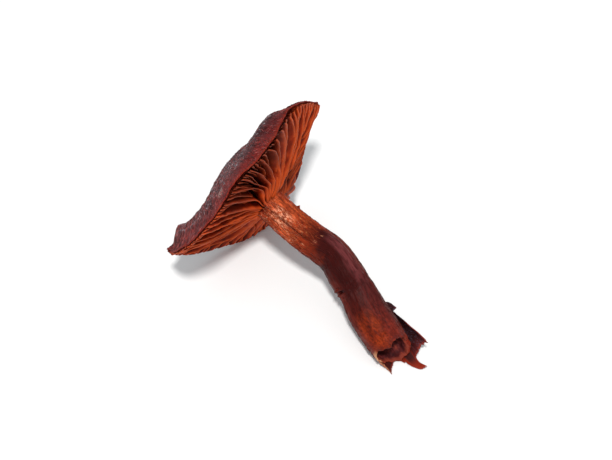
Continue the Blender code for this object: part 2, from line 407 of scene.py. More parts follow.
class Surface:
    """Short way to write a node material."""

    def __init__(self, name):
        self.material = bpy.data.materials.new(name)
        self.material.use_nodes = True
        self.tree = self.material.node_tree
        self.shader = self.tree.nodes["Principled BSDF"]

    def node(self, kind, inputs=None, **settings):
        node = self.tree.nodes.new(kind)
        for key, value in settings.items():
            setattr(node, key, value)
        for key, value in (inputs or {}).items():
            self.feed(node.inputs[key], value)
        return node

    def feed(self, socket, value):
        if isinstance(value, bpy.types.NodeSocket):
            self.tree.links.new(value, socket)
        else:
            socket.default_value = value

    def finish(self, **values):
        """Feed the colour and other sockets, their spaces written as underscores, to the shader."""
        for key, value in {"Base_Color": self.colour, **values}.items():
            self.feed(self.shader.inputs[key.replace("_", " ")], value)
        return self.material

    def bump(self, height, strength, distance):
        node = self.node("ShaderNodeBump", {"Height": height, "Strength": strength, "Distance": distance})
        self.feed(self.shader.inputs["Normal"], node.outputs["Normal"])

    def math(self, operation, a, b=0.0):
        return self.node("ShaderNodeMath", {0: a, 1: b}, operation=operation).outputs[0]

    def times(self, value, *others):
        """Product of the values."""
        for other in others:
            value = self.math("MULTIPLY", value, other)
        return value

    def plus(self, value, *others):
        """Sum of the values."""
        for other in others:
            value = self.math("ADD", value, other)
        return value

    def blend(self, one, share, other):
        """The share of one value and the rest of another."""
        return self.plus(self.times(one, share), self.times(other, 1.0 - share))

    def between(self, value, low, high, to_low=0.0, to_high=1.0):
        """Map value from low..high to to_low..to_high, smoothly and clamped."""
        node = self.node("ShaderNodeMapRange", {
            "Value": value, "From Min": low, "From Max": high, "To Min": to_low, "To Max": to_high},
            interpolation_type="SMOOTHSTEP")
        return node.outputs["Result"]

    def band(self, value, start, full, last, end):
        """1 where the value lies from full to last, down to 0 at start and end."""
        return self.times(self.between(value, start, full), self.between(value, end, last))

    def mix(self, factor, a, b, blend="MIX"):
        node = self.node("ShaderNodeMix", data_type="RGBA", blend_type=blend)
        self.feed(node.inputs["Factor"], factor)
        self.feed(node.inputs["A"], a)
        self.feed(node.inputs["B"], b)
        return node.outputs["Result"]

    def tint(self, shade, *masks):
        """Lay a shade over the surface's colour, as far as the product of the masks."""
        self.colour = self.mix(self.times(*masks), self.colour, linear(*shade))

    def ramp(self, factor, *stops):
        """Colours along the factor: a stop is its position and a shade, a linear colour or a grey."""
        node = self.node("ShaderNodeValToRGB", {"Fac": factor})
        elements = node.color_ramp.elements
        while len(elements) < len(stops):
            elements.new(0.5)
        for element, (position, colour) in zip(elements, stops):
            element.position = position
            if not isinstance(colour, tuple):
                colour = (colour, colour, colour, 1.0)
            element.color = linear(*colour) if len(colour) == 3 else colour
        return node.outputs["Color"]

    def vector(self, x, y, z=0.0):
        return self.node("ShaderNodeCombineXYZ", {"X": x, "Y": y, "Z": z}).outputs[0]

    def noise(self, vector, scale=1.0, detail=3.0, roughness=0.55):
        node = self.node("ShaderNodeTexNoise", {
            "Vector": vector, "Scale": scale, "Detail": detail, "Roughness": roughness})
        return node.outputs["Fac"]

    def place(self):
        """Position on the object, in millimetres."""
        position = self.node("ShaderNodeTexCoord").outputs["Object"]
        scaled = self.node("ShaderNodeVectorMath", {0: position, "Scale": 1.0 / MM}, operation="SCALE")
        return scaled.outputs[0]

    def cloud(self, scale, detail=3.0, roughness=0.55):
        """Noise through the object, in spots about as wide as a millimetre over the scale."""
        return self.noise(self.place(), scale, detail, roughness)

    def uv(self):
        uv = self.node("ShaderNodeUVMap", uv_map="UVMap").outputs[0]
        parts = self.node("ShaderNodeSeparateXYZ", {"Vector": uv})
        return parts.outputs["X"], parts.outputs["Y"]

    def uv_turn(self):
        """Keep U as the cosine and the sine of a turn, for facing and streaks, and give V."""
        u, v = self.uv()
        angle = self.times(u, TURN)
        self.turn = (self.math("COSINE", angle), self.math("SINE", angle))
        return v

    def facing(self, degrees, low, high):
        """1 where the point's turn is near the given one, 0 away from it: limits are cosines."""
        angle = math.radians(degrees)
        cosine, sine = self.turn
        toward = self.plus(self.times(cosine, math.cos(angle)), self.times(sine, math.sin(angle)))
        return self.between(toward, low, high)

    def streaks(self, run, count, lengths, detail=3.0, roughness=0.55):
        """Lengthwise noise: count streaks round a turn and so many lengths of them along the run."""
        across = [self.times(share, count / TURN) for share in self.turn]
        return self.noise(self.vector(*across, self.times(run, lengths)), 1.0, detail, roughness)


def cap_surface():
    """Dull maroon skin with fine radial fibrils, greyish where velvety and with painted sheen there, crimson
    at the margin.
    """
    s = Surface("cap_skin")
    rho = s.uv_turn()
    fine = s.streaks(rho, 460.0, 30.0, 2.0, 0.7)
    coarse = s.streaks(rho, 90.0, 5.0)
    patches = s.cloud(0.2)
    grain = s.cloud(4.0)
    lobe = s.times(s.facing(312, 0.93, 0.985), s.between(rho, 0.45, 0.65))
    edge = s.times(s.between(rho, 0.95, 0.995), s.between(fine, 0.42, 0.56))
    # Grey toward the umbo: partly the velvety fibrils' own tone, partly painted sheen.
    frosting_and_sheen = s.times(s.between(grain, 0.46, 0.6), s.between(rho, 0.92, 0.66, 0.04, 0.72),
                       s.math("SUBTRACT", 1.0, s.times(lobe, 0.7)))
    shade = s.times(s.facing(268, 0.6, 0.95), s.between(rho, 0.95, 0.7))
    scratch = s.times(s.facing(254.5, 0.9985, 0.9998), s.band(rho, 0.8, 0.86, 0.87, 0.93),
                      s.between(grain, 0.35, 0.6))
    s.colour = s.ramp(s.blend(coarse, 0.3, fine), (0.40, (28, 5, 7)), (0.5, (90, 22, 20)),
                      (0.59, (180, 70, 60)))
    s.tint((46, 15, 20), s.between(patches, 0.44, 0.6, 0.0, 0.6))
    s.tint((40, 12, 18), lobe, 0.75)
    s.tint((122, 25, 20), s.between(rho, 0.78, 0.97, 0.0, 0.65))
    s.tint((140, 46, 24), edge, 0.75)
    s.tint((138, 120, 124), frosting_and_sheen)
    s.tint((46, 20, 24), shade, 0.3)
    s.tint((176, 150, 142), scratch)
    s.bump(s.blend(fine, 0.7, grain), 1.0, 0.00025)
    return s.finish(Roughness=s.between(fine, 0.3, 0.7, 0.65, 0.85), Sheen_Weight=0.1,
                    Sheen_Roughness=0.3, Sheen_Tint=linear(190, 190, 205), Specular_IOR_Level=0.08)


def strand_surface(name, dark, light):
    """Strands, each with a tone of its own from U."""
    s = Surface(name)
    dark, light = linear(*dark), linear(*light)
    own_tone = s.uv()[0]
    mottle = s.cloud(0.6, 2.0)
    middle = tuple(0.75 * a + 0.25 * b for a, b in zip(dark, light))
    s.colour = s.ramp(s.blend(own_tone, 0.75, mottle), (0.15, dark), (0.6, middle), (0.85, light))
    s.bump(mottle, 0.3, 0.00005)
    return s.finish(Roughness=0.6, Specular_IOR_Level=0.2)


def gill_surface():
    """Rust-orange gills: V is 0 deep at the flesh and 1 at the free edge, U runs along the gill."""
    s = Surface("gills")
    length, depth = s.uv()
    place = s.place()

    def from_middle(direction):
        """How far the point lies from the cap's middle in a direction, in millimetres."""
        node = s.node("ShaderNodeVectorMath", {0: place, 1: direction.tolist()}, operation="DOT_PRODUCT")
        return s.math("SUBTRACT", node.outputs["Value"], float(CAP_CENTRE @ direction))
    across, lengthwise = from_middle(SIDE), from_middle(LONG)
    reach = s.math("SQRT", s.plus(s.times(across, across), s.times(lengthwise, lengthwise)))
    toward_right = s.node("ShaderNodeSeparateXYZ", {"Vector": place}).outputs["Y"]
    streaks = s.noise(s.vector(s.times(length, 3.0), s.times(depth, 2.0)), 3.0)
    mottle = s.cloud(0.45)
    grain = s.cloud(3.0, 2.0)
    front = s.times(s.between(across, -5.0, -10.0), s.band(lengthwise, -7.0, -3.0, 6.0, 12.0))
    far = s.times(s.between(across, -2.0, 1.0), s.between(lengthwise, 0.0, 2.5))
    flanks = s.times(far, s.between(depth, 1.0, 0.88), s.between(reach, 14.0, 10.0))
    pocket = s.times(far, s.between(reach, 9.0, 5.5), s.between(depth, 1.0, 0.8, 0.25, 0.9))
    s.colour = s.ramp(s.blend(streaks, 0.5, mottle), (0.36, (84, 19, 6)), (0.5, (146, 40, 11)),
                      (0.64, (194, 68, 20)))
    s.tint((98, 26, 9), s.between(toward_right, -4.0, 6.0, 0.0, 0.35))
    # Painted shade: the gills darken deep toward the flesh, between the plates.
    s.tint((66, 17, 9), s.between(depth, 0.95, 0.6, 0.0, 0.85))
    # Lighter free edges: partly their own tone, partly a painted highlight.
    s.tint((220, 92, 36), s.between(depth, 0.9, 1.0, 0.0, 0.5))
    s.tint((92, 34, 20), front, 0.6)
    s.tint((92, 26, 11), flanks, 0.7)
    # Painted shade in the pocket beside the stem, where the gills stand lower.
    s.tint((48, 12, 6), pocket)
    s.bump(s.blend(streaks, 0.6, grain), 0.35, 0.00008)
    return s.finish(Roughness=0.5, Specular_IOR_Level=0.08, Subsurface_Weight=0.05,
                    Subsurface_Radius=(1.0, 0.25, 0.08), Subsurface_Scale=0.0006)


def under_surface():
    """Flesh between the gills: dark red-brown, orange toward the margin, maroon at its far edge."""
    s = Surface("under_flesh")
    rho = s.uv_turn()
    mottle = s.cloud(1.1)
    margin = s.times(s.between(rho, 0.945, 0.97), s.facing(62, 0.85, 0.97))
    s.colour = s.ramp(mottle, (0.35, (84, 26, 17)), (0.55, (116, 40, 25)), (0.7, (140, 54, 34)))
    s.tint((150, 48, 18), s.between(rho, 0.8, 0.94, 0.0, 0.9))
    s.tint((96, 26, 26), margin, 0.85)
    s.bump(mottle, 0.4, 0.0001)
    return s.finish(Roughness=0.7, Specular_IOR_Level=0.05)


def stem_zones(s, run, fine, blotch):
    """The stem's colours from cap to foot, with ragged borders that shift at both sides."""
    shifted = s.plus(run, s.times(s.math("SUBTRACT", blotch, 0.5), 0.18),
                     s.times(s.math("SUBTRACT", fine, 0.5), 0.12),
                     s.times(s.facing(195, 0.3, 0.95), -0.08),
                     s.times(s.facing(25, 0.7, 0.97), -0.09))
    s.colour = s.ramp(
        shifted, (0.09, (146, 46, 17)), (0.17, (186, 80, 42)), (0.22, (144, 48, 19)),
        (0.285, (112, 34, 13)), (0.36, (56, 11, 8)), (0.62, (54, 10, 8)),
        (0.74, (70, 17, 11)), (0.86, (96, 26, 12)), (1.0, (118, 34, 18)))
    s.tint((136, 46, 15), s.facing(128, 0.75, 0.97), s.between(run, 0.74, 0.82),
           s.between(blotch, 0.35, 0.6, 0.2, 0.85))


def stem_middle(s, run, coarse):
    """The glossy middle: a pale band of painted sheen, lighter sides and the knot on the inner bend."""
    # The pale band on the upper side is painted sheen.
    pale = s.times(s.facing(72, 0.86, 0.98), s.between(run, 0.34, 0.42),
                   s.between(run, 0.7, 0.48, 0.25, 1.0), s.between(coarse, 0.35, 0.55, 0.4, 1.0))
    ridge = s.times(s.facing(18, 0.72, 0.97), s.between(run, 0.33, 0.42),
                    s.between(run, 0.75, 0.6, 0.4, 1.0))
    edge = s.times(s.facing(192, 0.6, 0.98), s.between(run, 0.45, 0.6))
    knot = s.times(s.facing(162, 0.93, 0.985), s.band(run, 0.583, 0.6, 0.612, 0.628))
    s.tint((142, 70, 72), pale, 0.42)
    s.tint((124, 44, 32), ridge, 0.5)
    s.tint((132, 48, 36), edge, 0.45)
    s.tint((36, 8, 12), knot, 0.85)


def stem_top(s, run, fine, grains):
    """The rust-orange top: brown and golden grain, frosted flecks, a frosted patch that is partly painted
    highlight, glints, the crack and the pit.
    """
    brown = s.times(s.between(grains, 0.5, 0.62), s.between(run, 0.33, 0.27))
    golden = s.times(s.between(grains, 0.5, 0.4), s.between(run, 0.32, 0.25), s.facing(85, 0.4, 0.9))
    # Pinkish-white frosted patch: partly real frosting, partly a painted highlight.
    frost_and_highlight = s.times(s.between(fine, 0.48, 0.58), s.band(run, 0.14, 0.17, 0.195, 0.23),
                    s.facing(122, 0.8, 0.97))
    flecks = s.times(s.between(s.streaks(run, 120.0, 55.0, 1.0), 0.66, 0.74),
                     s.facing(140, 0.1, 0.8), s.band(run, 0.11, 0.14, 0.24, 0.33))
    crack = s.times(s.facing(127, 0.9975, 0.9996), s.between(run, 0.36, 0.28))
    pit = s.times(s.facing(147, 0.93, 0.98), s.between(run, 0.145, 0.12))
    s.tint((106, 44, 20), brown, 0.5)
    s.tint((180, 86, 40), golden, 0.3)
    s.tint((246, 178, 142), frost_and_highlight, 0.85)
    s.tint((236, 150, 96), flecks, 0.7)
    for degrees, at in STEM_GLINTS:
        glint = s.times(s.band(run, at - 0.012, at - 0.002, at + 0.002, at + 0.012),
                        s.facing(degrees, 0.996, 0.9995), s.between(fine, 0.45, 0.6))
        s.tint((236, 160, 120), glint, 0.6)
    s.tint((52, 10, 8), crack, 0.6)
    s.tint((70, 14, 12), pit, 0.85)


def stem_foot(s, run, grains):
    """The rim of the foot: a pale tear at the left and a dark mottled lip above."""
    tear = s.times(s.facing(190, 0.8, 0.97), s.between(run, 0.955, 0.985))
    lip = s.times(s.facing(100, 0.35, 0.85), s.between(run, 0.93, 0.985),
                  s.between(grains, 0.4, 0.55, 0.25, 1.0))
    s.tint((206, 150, 110), tear, 0.8)
    s.tint((76, 24, 20), lip, 0.75)


def stem_surface():
    """Fibrous stem: rust-orange with frosted flecks and a painted highlight, then glossy maroon with a
    painted sheen band, then red-brown.
    """
    s = Surface("stem_skin")
    run = s.uv_turn()
    fine = s.streaks(run, 130.0, 75.0, 2.5, 0.6)
    coarse = s.streaks(run, 42.0, 18.0)
    blotch = s.cloud(0.4)
    grains = s.cloud(1.6, 3.0, 0.7)
    fibres = s.blend(fine, 0.6, coarse)
    calm = s.times(s.between(run, 0.28, 0.38, 0.0, 0.65), s.between(run, 0.8, 0.7, 0.5, 1.0))
    contrast = s.mix(calm, s.ramp(fibres, (0.39, 0.4), (0.5, 1.0), (0.61, 1.75)), (1.0, 1.0, 1.0, 1.0))
    stem_zones(s, run, fine, blotch)
    s.colour = s.mix(1.0, s.colour, contrast, "MULTIPLY")
    stem_middle(s, run, coarse)
    stem_top(s, run, fine, grains)
    stem_foot(s, run, grains)
    glossy = s.band(run, 0.32, 0.38, 0.6, 0.8)
    s.bump(fibres, 0.5, 0.00016)
    return s.finish(Roughness=s.between(glossy, 0.0, 1.0, 0.5, 0.42), Specular_IOR_Level=0.07)


def hollow_surface():
    """Torn inside of the foot: dark maroon, redder at the rim."""
    s = Surface("torn_inside")
    run = s.uv()[1]
    specks = s.cloud(3.5, 2.0)
    mottle = s.cloud(0.9)
    s.colour = s.ramp(mottle, (0.35, (50, 16, 17)), (0.55, (84, 30, 30)), (0.7, (130, 52, 40)))
    s.tint((134, 54, 38), s.between(run, 1.012, 0.998, 0.0, 0.8))
    s.bump(s.blend(specks, 0.5, mottle), 0.6, 0.0002)
    return s.finish(Roughness=0.6, Specular_IOR_Level=0.08)


def layer_surface():
    """The torn outer layer: U runs from the sliver over the orange flap to the dark side flap."""
    s = Surface("torn_layer")
    turn, run = s.uv()
    specks = s.cloud(4.5, 2.0)
    mottle = s.cloud(0.9)
    shifted = s.plus(turn, s.times(s.math("SUBTRACT", mottle, 0.5), 0.08))
    torn = s.times(s.between(turn, 0.225, 0.18), s.between(run, 0.91, 0.97))
    # Painted shade on the flaps near the tube, at their roots.
    shade_near_tube = s.times(s.between(run, 0.93, 0.74), s.between(turn, 0.42, 0.48))
    bluish = s.times(s.between(specks, 0.55, 0.7, 0.0, 0.55), s.between(turn, 0.74, 0.8))
    s.colour = s.ramp(
        shifted, (0.0, (98, 30, 20)), (0.12, (84, 26, 20)), (0.3, (46, 13, 10)),
        (0.44, (96, 28, 14)), (0.53, (132, 36, 15)), (0.65, (132, 36, 16)),
        (0.69, (76, 24, 23)), (0.93, (72, 24, 26)), (0.99, (116, 32, 30)))
    s.tint((206, 150, 112), torn)
    s.tint((40, 14, 15), shade_near_tube, 0.9)
    s.tint((92, 84, 102), bluish)
    s.tint((152, 54, 40), s.between(run, 0.93, 1.0, 0.0, 0.6))
    s.bump(s.blend(specks, 0.5, mottle), 0.5, 0.00015)
    return s.finish(Roughness=0.55, Specular_IOR_Level=0.08)


# The cap's flesh and skin

def build_cap(surface, under):
    """The skin from the umbo out to the margin, and the flesh below it back to the stem."""
    columns = 560
    angle = np.arange(columns) / columns * TURN
    top_rho = np.concatenate((np.linspace(0.004, 0.9, 64), np.linspace(0.91, 1.0, 14)))
    low_rho = np.linspace(0.997, 0.06, 22)
    top = skin_point(*np.meshgrid(top_rho, angle, indexing="ij"))
    rho, turn = np.meshgrid(low_rho, angle, indexing="ij")
    thickness = top_height(rho, turn) - flesh_height(rho, turn)
    low = skin_point(rho, turn, -thickness * (0.45 + 0.55 * step(rho, 1.0, 0.9)))
    rings = np.concatenate((top, low))[::-1]
    shell = closed_shell(rings, np.concatenate((top_rho, low_rho))[::-1])
    piece = make_piece("cap_flesh", *shell, surface, "cap", "cap_skin")
    row = np.arange(len(piece.data.polygons)) // columns
    low_fan = len(rings) - 1
    add_surface(piece, under, (row < len(low_rho) - 1) | (row == low_fan))


# The gills

def gill_inner(angle, number):
    """Rho where a gill starts."""
    order = number % 4
    if order == 0:
        return GILL_INNER[order]
    longer, degrees = GILL_LONGER[order]
    return float(GILL_INNER[order] - longer * near(angle, degrees, 28) + 0.07 * lattice(number, 3, 4, 32))


def gill_root(rho, angle):
    """Where a gill leaves the flesh, a little inside it."""
    return flesh_height(rho, angle) + 0.12


def gill_fall(rho, angle):
    """How much lower gills stand in places: between broad ridges at the left and leaves at the right."""
    degrees = math.degrees(angle)
    left = 0.5 + 0.5 * noise(degrees / 6.5 + 1.1 * np.sin(3.2 * rho + 0.4), rho * 2.2, 0.0, 27)
    right = 0.5 + 0.5 * noise(degrees / 8.0 + 1.3 * np.sin(3.0 * rho), rho * 1.8, 0.0, 28)
    fall = near(angle, 172, 50) * left + 0.55 * near(angle, 325, 26) * right
    return fall * step(rho, 0.12, 0.3) * step(rho, 1.0, 0.88)


def gill_hollows(rho, angle):
    """Depth of the recess, the slit, the pocket and the hollow at the tip, taken together."""
    past = math.degrees(past_angle(angle, RECESS_START)) + 24.0 * bell(rho, 0.2, 0.15)
    recess = RECESS * step(past, -3.0, 3.0) * step(past, 80.0, 45.0) * bell(rho, 0.5, 0.25)
    slit = SLIT * bell(past, 11.0, 6.0) * bell(rho, 0.47, 0.17)
    pocket = POCKET * step(past, -3.0, 3.0) * step(past, 75.0, 40.0) * bell(rho, 0.27, 0.13)
    return recess + slit + pocket + TIP_HOLLOW * near(angle, 14, 15) * bell(rho, 0.83, 0.11)


def gill_length(rho, angle, number, inner, outer):
    """How far the free edge stands from the flesh, along a gill from inner to outer."""
    order = number % 4
    ragged = 0.14 * noise(rho * 7, number * 3.7, 0.0, 21) + 0.07 * noise(rho * 26, number * 1.3, 0.0, 22)
    length = gill_root(rho, angle) - edge_height(rho, angle)
    length = length - ragged * step(rho, 1.0, 0.85) + 0.35 * step(rho, 1.0, 0.93)
    start = step((rho - inner) / 0.17, 0.0, 1.0) if order else 1.0
    share, less_left, less_right, less_far = GILL_SHARE[order]
    share = share - less_left * near(angle, 185, 50) - less_right * near(angle, 308, 28)
    share = share - less_far * near(angle, 55, 30) * step(rho, 0.97, 0.8)
    length = np.maximum(length, 0.05) * start * share - gill_hollows(rho, angle) - gill_fall(rho, angle)
    fading = 0.9 * near(angle, 59, 32) * step(rho, outer - 0.3, outer)
    return np.maximum(length, 0.1) * (1.0 - fading)


def gill_plate(angle, number, inner, along_count, deep_count):
    """Points of one thin curved plate: both faces, from flesh to free edge, joined at the edge."""
    outer = 0.992 + 0.007 * lattice(number, 7, 8, 34) - 0.04 * near(angle, 60, 20)
    rho, depth = np.meshgrid(np.linspace(inner, outer, along_count), np.linspace(0.0, 1.0, deep_count),
                             indexing="ij")
    left, right = near(angle, 185, 50), near(angle, 308, 28)
    length = gill_length(rho, angle, number, inner, outer)
    tilt = np.radians(around(GILL_TILT, angle) + (7.0 + 8.0 * right) * lattice(number, 1, 2, 33))
    bend = tilt * step(rho, 0.12, 0.42) * (0.55 + 0.45 * depth)
    wave = (0.26 + 0.14 * left) * noise(rho * 4.5, number * 5.1, depth * 0.8, 23) * depth
    wave += 0.09 * noise(rho * 13, number * 2.3, depth * 1.5, 24) * depth ** 1.5
    curve = (0.45 + 0.9 * left + 0.4 * right) * noise(rho * 1.6, number * 0.31, 0.0, 25)
    curve += 0.2 * noise(rho * 3.5, number * 7.7, 0.0, 26)
    sideways = length * depth * np.sin(bend) + wave + curve * step(rho, 0.2, 0.5) * step(rho, 1.02, 0.8)
    height = gill_root(rho, angle) - length * depth * np.cos(bend)
    thicker = (1.0 + 0.7 * max(left, right) * depth) * (1.0 + 0.9 * step(rho, 0.82, 0.98))
    half = 0.5 * GILL_THICKNESS * (1.2 - 0.7 * depth) * thicker
    reach = CAP_RADIUS * np.maximum(rho, 0.12)
    spread = margin_spread(rho, angle)
    one = cap_point(spread, angle + (sideways - half) / reach, height)
    other = cap_point(spread, angle + (sideways + half) / reach, height)
    return np.concatenate((one, other[:, ::-1]), 1)


def gill_angles():
    """Where the gills stand: closer together toward the right tip."""
    angle = np.linspace(0.0, TURN, 1441)
    crowding = 1.0 + 0.75 * near(angle, 345, 38) - 0.35 * near(angle, 60, 30)
    place = np.concatenate(((0.0,), np.cumsum(0.5 * (crowding[1:] + crowding[:-1]))))
    number = np.arange(GILLS_AT_MARGIN)
    jitter = 0.3 * lattice(number, 5, 6, 31)
    return np.interp((number + 0.5 + jitter) / GILLS_AT_MARGIN, place / place[-1], angle)


def build_gills(surface):
    """All gills as one piece, each a closed plate with its inner end filled."""
    points, faces, uvs = [], [], []
    start = 0
    for number, angle in enumerate(gill_angles().tolist()):
        rows, half = GILL_ROWS[number % 4]
        columns = 2 * half
        inner = gill_inner(angle, number)
        u = np.linspace(inner, 1.0, rows) + number * 3.0
        v = np.concatenate((np.linspace(0, 1, half), np.linspace(1, 0, half)))
        points.append(gill_plate(angle, number, inner, rows, half).reshape(-1, 3))
        faces.append(grid_faces(rows, columns, True, start))
        r, c, after = grid_corners(rows, columns, True)
        corners = ((r, c), (r, after), (r + 1, after), (r + 1, c))
        uvs.append(corner_uvs([(u[row], v[column]) for row, column in corners]))
        k = np.arange(half - 1)
        end_v = np.stack((v[k], v[k + 1], v[k + 1], v[k]), -1).ravel()
        faces.append(start + np.stack((columns - 1 - k, columns - 2 - k, k + 1, k), -1))
        uvs.append(np.stack((np.full_like(end_v, u[0]), end_v), -1))
        start += rows * columns
    points, faces, uvs = (np.vstack(parts) for parts in (points, faces, uvs))
    make_piece("gills", points, faces.tolist(), uvs, surface, "cap", "cap_skin")


# The stem

def stem_frames(t):
    """Centre, tangent and two side directions at each t."""
    before, after = np.maximum(t - 0.01, 0.0), np.minimum(t + 0.01, 1.0)
    tangent = unit(along(STEM_ROUTE, after) - along(STEM_ROUTE, before))
    up = unit(np.array((0.0, 0.0, 1.0)) - tangent * tangent[..., 2:3])
    return along(STEM_ROUTE, t), tangent, np.cross(up, tangent), up


def foot_frame():
    """Centre, tangent and two side directions at the stem's end."""
    return (rows[0] for rows in stem_frames(np.array([1.0])))


def stem_relief(t, phi):
    """Fibres, furrows, the long crack, the pit at the top and the knot on the inner bend."""
    coarse = 0.09 * ring_noise(phi + 0.9 * t, 16, t * 5, 41) + 0.06 * ring_noise(phi, 44, t * 9, 42)
    fine = 0.035 * ring_noise(phi, 110, t * 50, 43) + 0.02 * ring_noise(phi, 210, t * 90, 45)
    relief = coarse + fine * step(t, 0.8, 0.3) + 0.4 * fine
    relief += 0.08 * rough(t * 18, np.cos(phi) * 1.5, np.sin(phi) * 1.5, 44) * step(t, 0.4, 0.6)
    crack_phi = np.radians(129) - 0.5 * (t - 0.13) + 0.05 * noise(t * 30, 0.0, 0.0, 46)
    crack = bell(phi, crack_phi, 0.04) * step(t, 0.08, 0.14) * step(t, 0.36, 0.28)
    pit = bell(phi, np.radians(147), 0.26) * step(t, 0.14, 0.10)
    pit_lip = bell(phi, np.radians(128), 0.08) * step(t, 0.17, 0.12)
    knot = bell(phi, np.radians(170), 0.24) * (bell(t, 0.607, 0.012) + 0.5 * bell(t, 0.577, 0.007))
    knot_lip = bell(phi, np.radians(178), 0.4) * (bell(t, 0.59, 0.01) + 0.8 * bell(t, 0.626, 0.012))
    swelling = bell(phi, np.radians(195), 0.5) * (bell(t, 0.55, 0.06) + 0.8 * bell(t, 0.42, 0.05))
    bud = bell(phi, np.radians(26), 0.1) * bell(t, 0.205, 0.005)
    relief = relief - 0.28 * crack - 0.75 * pit + 0.15 * pit_lip
    return relief - 0.75 * knot + 0.34 * knot_lip + 0.4 * swelling + 0.5 * bud


def stem_radius(t, phi):
    """Radius of the stem, with low waves and a flatter right side at the foot."""
    radius = along(STEM_RADII, t) + stem_relief(t, phi)
    waves = 0.1 * np.sin(9.0 * t + 1.0) * np.cos(3 * phi + 5 * t)
    return radius + waves - 0.5 * near(phi, 10, 54.43) * step(t, 0.78, 0.96)


def stem_point(t, phi, lift=0.0):
    """Point on the stem's skin."""
    centre, _, side, up = stem_frames(t)
    across = side * np.cos(phi)[..., None] + up * np.sin(phi)[..., None]
    return centre + across * (stem_radius(t, phi) + lift)[..., None]


def mouth_rings(first, phi):
    """Rings of points after the plain tube's last one: the outside, the torn lip and the inside."""
    centre, tangent, side, up = foot_frame()
    across = side * np.cos(phi)[:, None] + up * np.sin(phi)[:, None]
    reach = around(MOUTH_REACH, phi) + 0.22 * ring_noise(phi, 26, 0.0, 51)
    reach += 0.12 * ring_noise(phi, 80, 0.0, 52)
    radius = around(MOUTH_RADIUS, phi)
    wall = around(MOUTH_WALL, phi) * (1.0 + 0.25 * ring_noise(phi, 20, 0.0, 53))
    tongue = 0.6 * bell(phi, math.radians(108), 0.13) + 0.3 * bell(phi, math.radians(152), 0.1)
    crease = 0.35 * bell(phi, math.radians(285), 0.25)
    first_run = (first - centre) @ tangent
    first_out = np.einsum("ij,ij->i", first - centre, across)
    last_run = reach - wall * 0.4

    def grain(t):
        return stem_relief(np.full_like(phi, t), phi) - stem_relief(np.full_like(phi, TUBE_END), phi)

    def ring(run, out):
        return centre + across * out[:, None] + tangent * run[:, None]
    last_out = radius + grain(1.0) - 0.35 * tongue
    outside, lip, inside = [], [], []
    for part in np.linspace(0.08, 1.0, 20):
        out = first_out + (radius - first_out) * step(part, -0.2, 1.0)
        out += grain(TUBE_END + (1.0 - TUBE_END) * part) - 0.35 * tongue * part ** 3
        outside.append(ring(first_run + (last_run - first_run) * part, out))
    for turn in np.linspace(0.0, math.pi, 9)[1:]:
        lump = 1.0 + 0.15 * ring_noise(phi, 34, turn * 2, 54)
        out = last_out - wall * 0.5 * (1 - math.cos(turn)) - 0.3 * tongue * (turn / math.pi)
        lip.append(ring(last_run + wall * 0.45 * math.sin(turn) * lump, out))
    for part in np.linspace(0.04, 1.0, 26):
        rugged = 0.16 * ring_noise(phi, 14, part * 5, 55) + 0.07 * ring_noise(phi, 60, part * 9, 56)
        fold = 0.9 * tongue * (1 - part) ** 2 + crease * (1 - part)
        out = (last_out - wall - fold) * (1.0 - 0.55 * part ** 2) + rugged * step(part, 0.0, 0.2)
        inside.append(ring(last_run - MOUTH_DEPTH * part, np.maximum(out, 0.25)))
    return outside, lip, inside


def build_stem(surface, hollow):
    """The tube with its torn mouth, closed by the hollow's floor."""
    columns = 300
    phi = np.arange(columns) / columns * TURN
    tube_t = np.linspace(0.0, TUBE_END, 220)
    tube = stem_point(*np.meshgrid(tube_t, phi, indexing="ij"))
    outside, lip, inside = mouth_rings(tube[-1], phi)
    rings = np.array(list(tube) + outside + lip + inside)
    run = np.concatenate((tube_t, np.linspace(0.905, 0.99, len(outside)),
                          np.linspace(0.992, 1.0, len(lip)), np.linspace(1.002, 1.1, len(inside))))
    piece = make_piece("stem_skin", *closed_shell(rings, run), surface, "stem", "stem_skin")
    row = np.arange(len(piece.data.polygons)) // columns
    mid_lip = len(tube_t) + len(outside) + len(lip) // 2
    top_fan = len(rings) - 1
    add_surface(piece, hollow, (row >= mid_lip) & (row != top_fan))


def build_skirt(surface):
    """The torn outer layer of the foot: a dark flap at the side, an orange one and a sliver."""
    columns, rows = 260, 34
    degrees = np.linspace(SKIRT_ANGLE[0], SKIRT_ANGLE[-1], columns)
    reach = np.interp(degrees, SKIRT_ANGLE, SKIRT_REACH)
    reach += 0.22 * noise(degrees * 0.45, 0.0, 0.0, 61) + 0.12 * noise(degrees * 1.4, 0.0, 0.0, 62)
    part = np.linspace(0.0, 1.0, rows)
    run = SKIRT_START + (reach - SKIRT_START) * part[:, None]
    turned = degrees + SKIRT_CURL * (np.maximum(run - 2.5, 0.0) / 2.3) ** 2
    opening = np.interp(turned, SKIRT_ANGLE, SKIRT_OPENING)
    grain = 0.07 * noise(degrees * 0.5, run * 0.5, 0.0, 63) + 0.12 * noise(degrees * 0.12, run * 0.7, 0.0, 64)
    middle = SKIRT_RADIUS + opening * (run - SKIRT_START) + grain * step(run, -5.0, -3.0)
    from_end = np.minimum(degrees - SKIRT_ANGLE[0], SKIRT_ANGLE[-1] - degrees)
    thick = SKIRT_THICKNESS * (1.0 - 0.55 * part[:, None]) * step(from_end, -1.0, 3.0)
    centre, tangent, side, up = foot_frame()
    phi = np.radians(turned)
    across = side * np.cos(phi)[..., None] + up * np.sin(phi)[..., None]

    def sheet(out):
        return centre + across * out[..., None] + tangent * run[..., None]
    points = np.concatenate((sheet(middle), sheet(middle - thick)[::-1]))
    uvs = grid_uvs(2 * rows, columns, False, np.concatenate((part, part[::-1])))
    make_piece("torn_layer", points.reshape(-1, 3), grid_faces(2 * rows, columns, False).tolist(),
               uvs, surface, "stem", "stem_skin")


